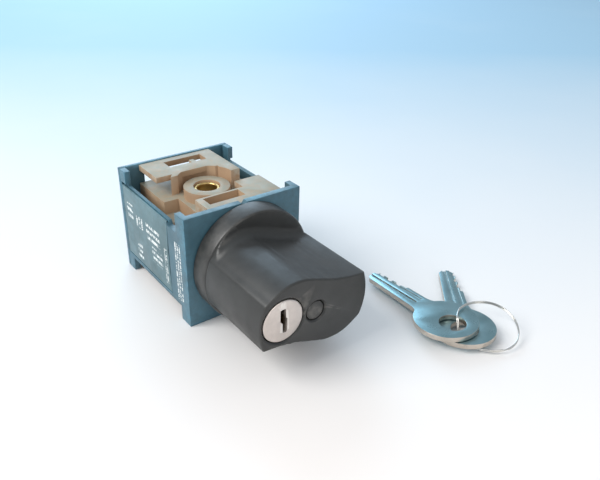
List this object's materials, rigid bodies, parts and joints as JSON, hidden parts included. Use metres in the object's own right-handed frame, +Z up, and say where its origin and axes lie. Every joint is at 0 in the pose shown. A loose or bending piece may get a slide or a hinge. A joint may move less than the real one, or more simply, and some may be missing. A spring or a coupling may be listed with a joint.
{
  "type": "selector key switch",
  "caption": "Panel selector switch with a faceted turning handle, a key lock in its front, a rectangular open-topped body, and its keys lying beside it on a ring.",
  "frame": {"origin": "on the handle's turning axis, at the rear face of the rear cover", "axes": "+Y from the handle to the rear, +X to the right seen from the handle, +Z up; the feet and keys rest on z = -0.0204"},
  "size_m": [0.0977, 0.1218, 0.0408],
  "materials": {
    "teal_plastic": "satin moulded teal plastic",
    "panel_plastic": "matte grey-teal plastic",
    "beige_plastic": "matte grey-beige moulding",
    "black_plastic": "satin black moulded plastic",
    "nickel": "satin nickel plate",
    "brass": "bare brass",
    "zinc_steel": "zinc-plated steel",
    "spring_steel": "bright spring steel",
    "white_nylon": "natural nylon",
    "red_nylon": "red nylon"
  },
  "bodies": {
    "base": {"housing": "teal_plastic", "rear_cover": "teal_plastic", "cover_screw_upper_left": "zinc_steel", "cover_screw_upper_right": "zinc_steel", "cover_screw_lower_left": "zinc_steel", "cover_screw_lower_right": "zinc_steel", "side_panel_left": "panel_plastic", "side_panel_right": "panel_plastic", "upper_carrier": "beige_plastic", "lower_carrier": "beige_plastic", "brass_insert": "brass", "base_plate": "beige_plastic", "base_screw": "zinc_steel", "front_bush": "white_nylon", "rear_bush": "white_nylon", "fixed_contact_front_left": "brass", "fixed_contact_front_right": "brass", "fixed_contact_rear_left": "brass", "fixed_contact_rear_right": "brass", "terminal_clamp_front_left": "zinc_steel", "terminal_clamp_front_right": "zinc_steel", "terminal_clamp_rear_left": "zinc_steel", "terminal_clamp_rear_right": "zinc_steel", "terminal_screw_front_left": "zinc_steel", "terminal_screw_front_right": "zinc_steel", "terminal_screw_rear_left": "zinc_steel", "terminal_screw_rear_right": "zinc_steel", "contact_spring_front": "spring_steel", "contact_spring_rear": "spring_steel", "index_spring_left": "spring_steel", "index_spring_right": "spring_steel"},
    "handle": {"handle_grip": "black_plastic", "handle_screw": "black_plastic", "screw_cap": "black_plastic", "drive_shaft": "zinc_steel", "index_wheel": "white_nylon", "cam_front": "red_nylon", "cam_rear": "red_nylon", "cam_spacer": "white_nylon", "shaft_clip": "spring_steel", "lock_barrel": "nickel"},
    "plug": {"lock_plug": "nickel", "lock_clip": "spring_steel", "lock_cam": "zinc_steel", "wafer_1": "brass", "wafer_2": "brass", "wafer_3": "brass", "wafer_4": "brass"},
    "bolt": {"lock_bolt": "nickel"},
    "contacts_front": {"plunger_front": "white_nylon", "contact_bridge_front": "brass"},
    "contacts_rear": {"plunger_rear": "white_nylon", "contact_bridge_rear": "brass"},
    "ball_left": {"index_ball_left": "spring_steel"},
    "ball_right": {"index_ball_right": "spring_steel"},
    "ring": {"key_ring": "nickel"},
    "first_key": {"key_1": "nickel"},
    "second_key": {"key_2": "nickel"}
  },
  "joints": [
    {"name": "handle_turn", "type": "hinge", "parent": "base", "child": "handle", "pos_m": [0, -0.05, 0], "axis": [0, 1, 0], "range_deg": [0, 90]},
    {"name": "lock_plug_turn", "type": "hinge", "parent": "handle", "child": "plug", "pos_m": [-0.012, -0.088, 0.0012], "axis": [0, 1, 0], "range_deg": [0, 90]},
    {"name": "lock_bolt_slide", "type": "slide", "parent": "handle", "child": "bolt", "axis": [0, 1, 0], "range_m": [0, 0.0026]},
    {"name": "contact_front_slide", "type": "slide", "parent": "base", "child": "contacts_front", "axis": [0, 0, -1], "range_m": [0, 0.002], "deforming": ["contact_spring_front"]},
    {"name": "contact_rear_slide", "type": "slide", "parent": "base", "child": "contacts_rear", "axis": [0, 0, 1], "range_m": [0, 0.002], "deforming": ["contact_spring_rear"]},
    {"name": "index_ball_left_slide", "type": "slide", "parent": "base", "child": "ball_left", "axis": [1, 0, 0], "range_m": [0, 0.0008], "deforming": ["index_spring_left"]},
    {"name": "index_ball_right_slide", "type": "slide", "parent": "base", "child": "ball_right", "axis": [-1, 0, 0], "range_m": [0, 0.0008], "deforming": ["index_spring_right"]},
    {"name": "ring_lift", "type": "slide", "parent": "base", "child": "ring", "axis": [0, 0, 1], "range_m": [0, 0.06]},
    {"name": "key_1_swivel", "type": "hinge", "parent": "ring", "child": "first_key", "pos_m": [0.0465, -0.1045, -0.01688], "axis": [0.0104, 0.0388, 0.9992], "range_deg": [-10, 25]},
    {"name": "key_2_swivel", "type": "hinge", "parent": "ring", "child": "second_key", "pos_m": [0.0494, -0.1074, -0.0168], "axis": [0.0104, 0.0388, 0.9992], "range_deg": [-25, 10]}
  ],
  "couplings": [
    {"joint": "lock_plug_turn", "follows": "lock_bolt_slide", "rad_per_m": 604.1},
    {"joint": "contact_front_slide", "follows": "handle_turn", "m_per_rad": 0.0012732},
    {"joint": "contact_rear_slide", "follows": "handle_turn", "m_per_rad": 0.0012732}
  ]
}
